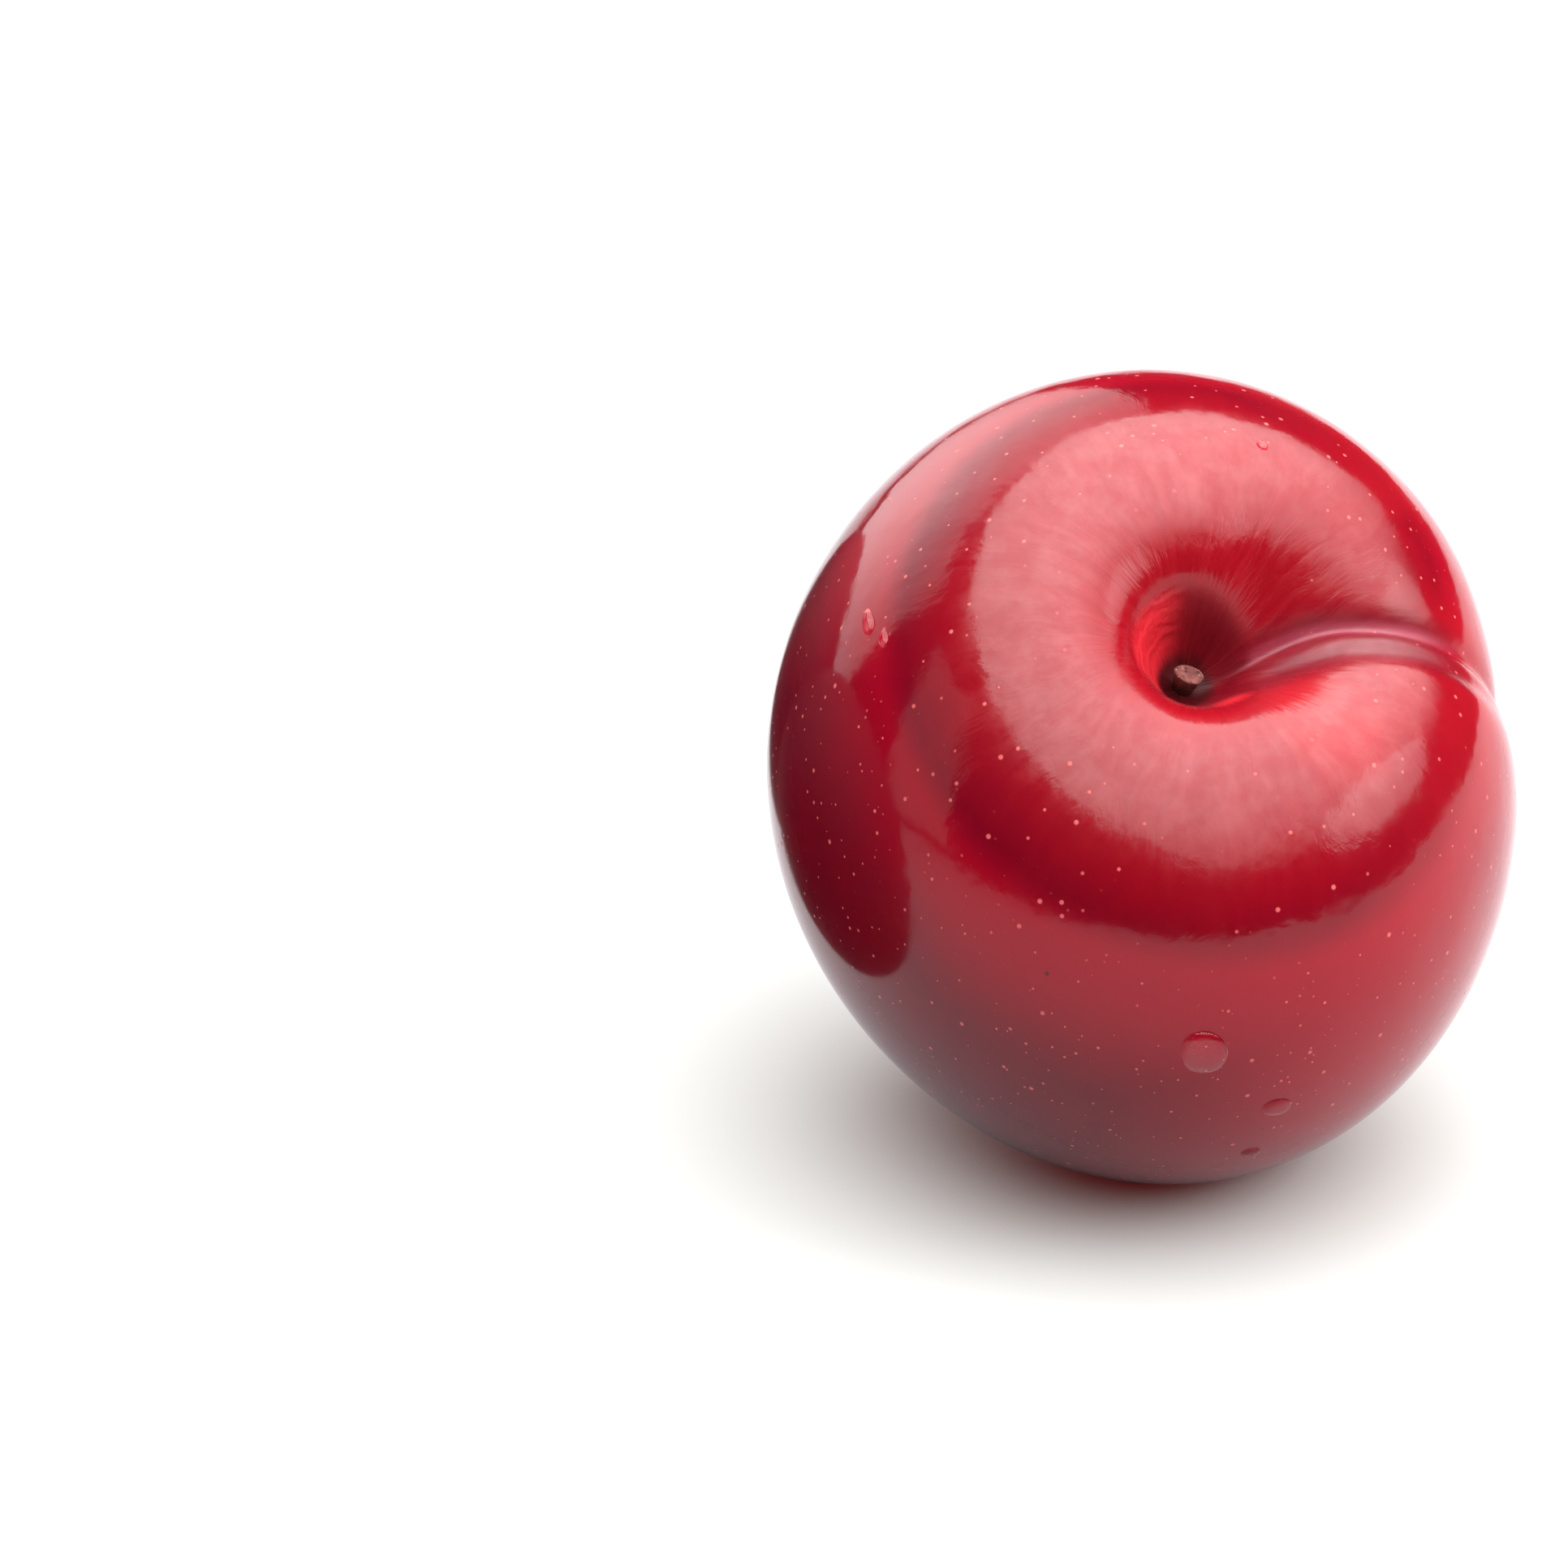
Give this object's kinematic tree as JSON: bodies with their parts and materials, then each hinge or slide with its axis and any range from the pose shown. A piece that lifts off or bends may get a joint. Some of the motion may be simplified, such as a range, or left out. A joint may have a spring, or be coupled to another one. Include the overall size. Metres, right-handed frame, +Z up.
{
  "type": "plum",
  "caption": "Ripe red plum with a deep stem cavity, a seam down one side and a worn stem stub, lying tilted on a small flat spot.",
  "frame": {"origin": "under the middle of the fruit, on the plane of the flat spot that it lies on", "axes": "+Z up; +X towards the suture, across which the fruit is narrowest; -Y towards the stem cavity, whose axis lies in the YZ plane and leans 39 degrees from +Z towards -Y"},
  "size_m": [0.0618, 0.0672, 0.0645],
  "materials": {
    "skin": "glossy waxed skin, crimson with pale dots",
    "stem": "matte, dry and pitted",
    "water": "clear water drops on the skin"
  },
  "bodies": {
    "root": {"fruit": "skin", "stem_stub": "stem"}
  },
  "joints": []
}
